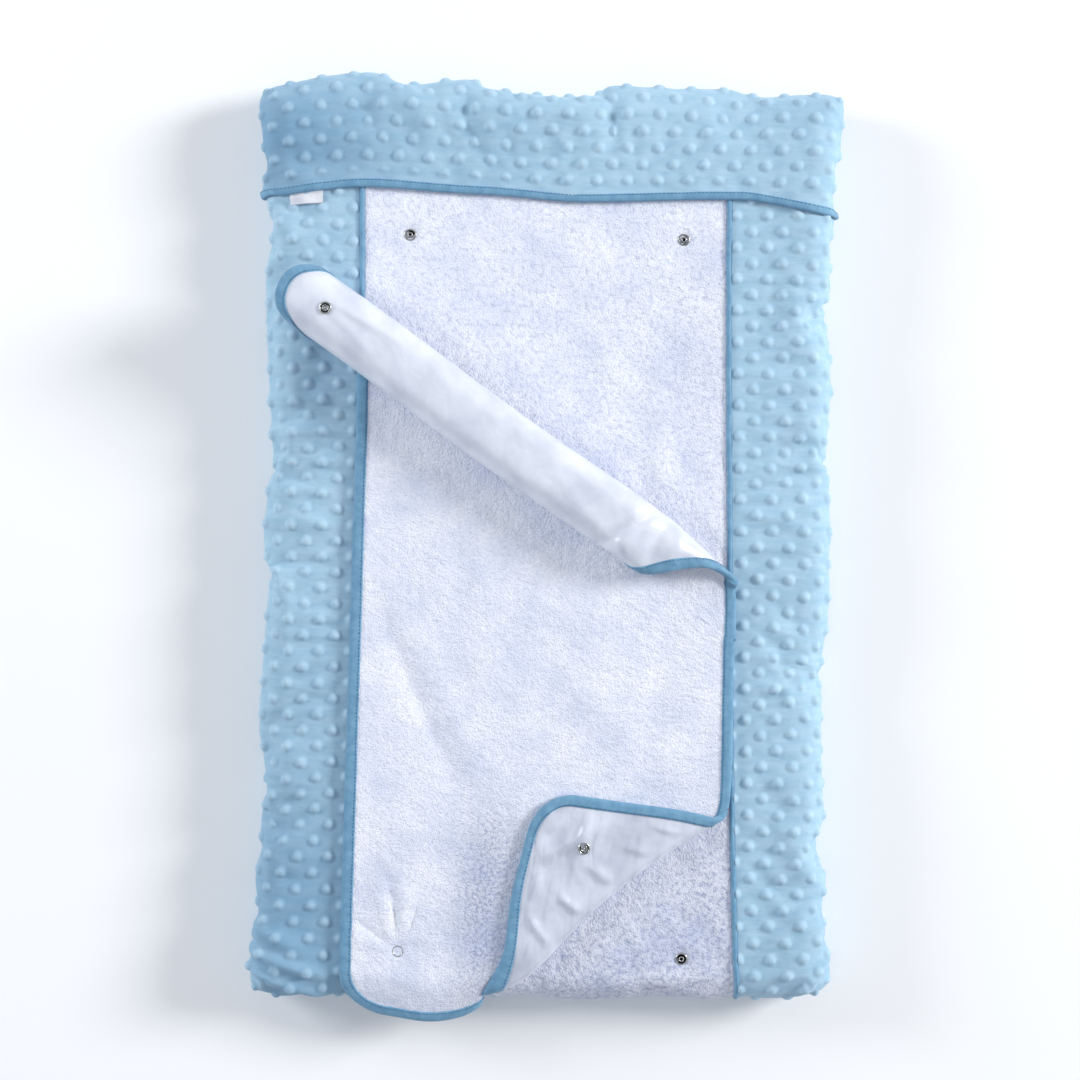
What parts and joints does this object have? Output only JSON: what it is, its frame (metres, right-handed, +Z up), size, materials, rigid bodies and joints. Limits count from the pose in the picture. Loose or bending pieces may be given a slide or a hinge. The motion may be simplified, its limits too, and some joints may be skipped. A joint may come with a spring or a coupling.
{
  "type": "changing pad",
  "caption": "Soft rectangular baby changing pad in a plush cover with a towelling centre, and a waterproof-backed towelling liner that presses on with poppers.",
  "frame": {"origin": "centre of the pad's underside", "axes": "+Z up from the surface that the pad lies on, +Y to the head end (the hooded end), +X to its right"},
  "size_m": [0.5052, 0.8116, 0.0961],
  "materials": {
    "foam": "open-cell foam",
    "casing_film": "satin film",
    "dimple_plush": "soft dimple plush",
    "bias_tape": "plain woven",
    "towelling": "looped terry pile",
    "backing_film": "soft gloss",
    "popper_metal": "bright nickel",
    "spring_steel": "wire",
    "woven_tab": "satin ribbon"
  },
  "bodies": {
    "pad": {"foam_core": "foam", "inner_casing_top": "casing_film", "inner_casing_bottom": "casing_film", "back_panel": "dimple_plush", "side_band_left": "dimple_plush", "side_band_right": "dimple_plush", "centre_panel": "towelling", "head_band": "dimple_plush", "head_band_binding": "bias_tape", "blank_tab": "woven_tab", "piping_left": "bias_tape", "piping_right": "bias_tape", "pad_stud_foot_left": "popper_metal", "pad_stud_foot_right": "popper_metal", "pad_stud_head_left": "popper_metal", "pad_stud_head_right": "popper_metal", "pad_prong_ring_foot_left": "popper_metal", "pad_prong_ring_foot_right": "popper_metal", "pad_prong_ring_head_left": "popper_metal", "pad_prong_ring_head_right": "popper_metal"},
    "popper": {"liner_grip_spring_foot_left": "spring_steel"},
    "liner": {"liner_towelling": "towelling", "liner_backing": "backing_film", "liner_binding": "bias_tape", "liner_socket_foot_left": "popper_metal", "liner_prong_ring_foot_left": "popper_metal"},
    "corner_flap": {"corner_towelling": "towelling", "corner_backing": "backing_film", "corner_binding": "bias_tape", "liner_socket_foot_right": "popper_metal", "liner_prong_ring_foot_right": "popper_metal", "liner_grip_spring_foot_right": "spring_steel"},
    "rolled_end": {"roll_towelling": "towelling", "roll_backing": "backing_film", "roll_binding": "bias_tape", "liner_socket_head_left": "popper_metal", "liner_prong_ring_head_left": "popper_metal", "liner_grip_spring_head_left": "spring_steel", "liner_socket_head_right": "popper_metal", "liner_prong_ring_head_right": "popper_metal", "liner_grip_spring_head_right": "spring_steel"}
  },
  "joints": [
    {"name": "popper_release", "type": "slide", "parent": "pad", "child": "popper", "axis": [0, 0, 1], "range_m": [0, 0.08]},
    {"name": "liner_swivel", "type": "hinge", "parent": "popper", "child": "liner", "pos_m": [-0.118, -0.356, 0.0523], "axis": [0, 0, 1], "range_deg": [-12, 12]},
    {"name": "corner_fold", "type": "hinge", "parent": "liner", "child": "corner_flap", "pos_m": [0.165, -0.232, 0.05645], "axis": [0.7373, 0.6756, 0], "range_deg": [0, 176]},
    {"name": "roll_lift", "type": "hinge", "parent": "liner", "child": "rolled_end", "pos_m": [0.01427, 0.02053, 0.05645], "axis": [0.8211, -0.5707, 0], "range_deg": [0, 80]}
  ]
}
